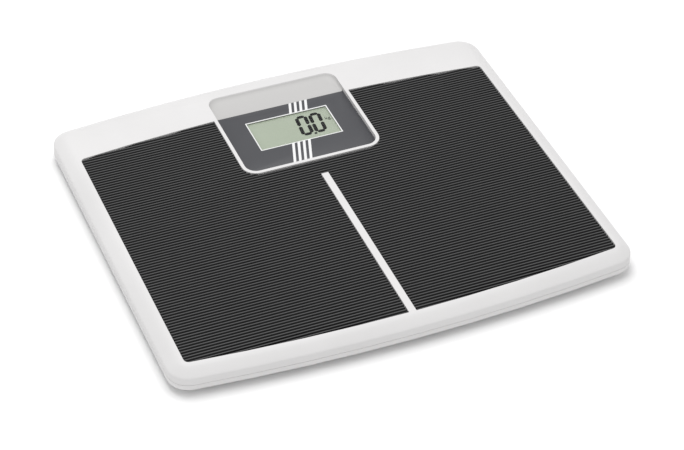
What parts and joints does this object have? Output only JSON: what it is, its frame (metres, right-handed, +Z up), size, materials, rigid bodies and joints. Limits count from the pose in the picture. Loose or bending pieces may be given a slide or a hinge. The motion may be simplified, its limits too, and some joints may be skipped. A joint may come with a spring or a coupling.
{
  "type": "digital bathroom scale",
  "caption": "Low platform bathroom scale with a ribbed standing mat, a sunken dark display panel, a sloping white rim and weighing feet.",
  "frame": {"origin": "on the floor under the middle of the case", "axes": "+X to the user's right, +Y to the display side, +Z up"},
  "size_m": [0.4, 0.3464, 0.024],
  "materials": {
    "case_white": "fine satin moulding",
    "foot_white": "fine satin moulding",
    "grey_plastic": "satin",
    "black_plastic": "matte",
    "mat_rubber": "ribbed, matte",
    "pad_rubber": "matte",
    "fascia": "satin printed panel",
    "window": "clear, glossy",
    "lcd": "grey green, satin",
    "board": "solder mask",
    "chip": "matte",
    "screw_steel": "plated",
    "contact_steel": "nickel plated",
    "cell_steel": "ground",
    "battery_jacket": "printed sleeve",
    "wire_jacket": "satin"
  },
  "bodies": {
    "case": {"top_cover": "case_white", "base_cover": "case_white", "standing_mat": "mat_rubber", "display_fascia": "fascia", "display_window": "window", "lcd_glass": "lcd", "lcd_frame": "grey_plastic", "contact_strip": "pad_rubber", "circuit_board": "board", "controller_chip": "chip", "unit_switch": "chip", "board_screw_1": "screw_steel", "board_screw_2": "screw_steel", "board_screw_3": "screw_steel", "board_screw_4": "screw_steel", "case_screw_1": "screw_steel", "case_screw_2": "screw_steel", "case_screw_3": "screw_steel", "case_screw_4": "screw_steel", "case_screw_5": "screw_steel", "case_screw_6": "screw_steel", "case_screw_7": "screw_steel", "case_screw_8": "screw_steel", "foot_cup_fl": "foot_white", "foot_pad_fl": "pad_rubber", "load_cell_fl": "cell_steel", "cell_holder_fl": "black_plastic", "sensor_wire_fl": "wire_jacket", "foot_cup_fr": "foot_white", "foot_pad_fr": "pad_rubber", "load_cell_fr": "cell_steel", "cell_holder_fr": "black_plastic", "sensor_wire_fr": "wire_jacket", "foot_cup_bl": "foot_white", "foot_pad_bl": "pad_rubber", "load_cell_bl": "cell_steel", "cell_holder_bl": "black_plastic", "sensor_wire_bl": "wire_jacket", "foot_cup_br": "foot_white", "foot_pad_br": "pad_rubber", "load_cell_br": "cell_steel", "cell_holder_br": "black_plastic", "sensor_wire_br": "wire_jacket", "battery_1": "battery_jacket", "battery_2": "battery_jacket", "battery_spring_1": "contact_steel", "battery_spring_2": "contact_steel", "left_terminal": "contact_steel", "right_terminal": "contact_steel", "battery_lead": "wire_jacket"},
    "battery_door": {"battery_door": "case_white"},
    "unit_button": {"unit_button": "grey_plastic"}
  },
  "joints": [
    {"name": "battery_door_slide", "type": "slide", "parent": "case", "child": "battery_door", "axis": [0, 1, 0], "range_m": [0, 0.006]},
    {"name": "unit_button_push", "type": "slide", "parent": "case", "child": "unit_button", "axis": [0, 0, 1], "range_m": [0, 0.0005], "stiffness_N_per_m": 900}
  ]
}
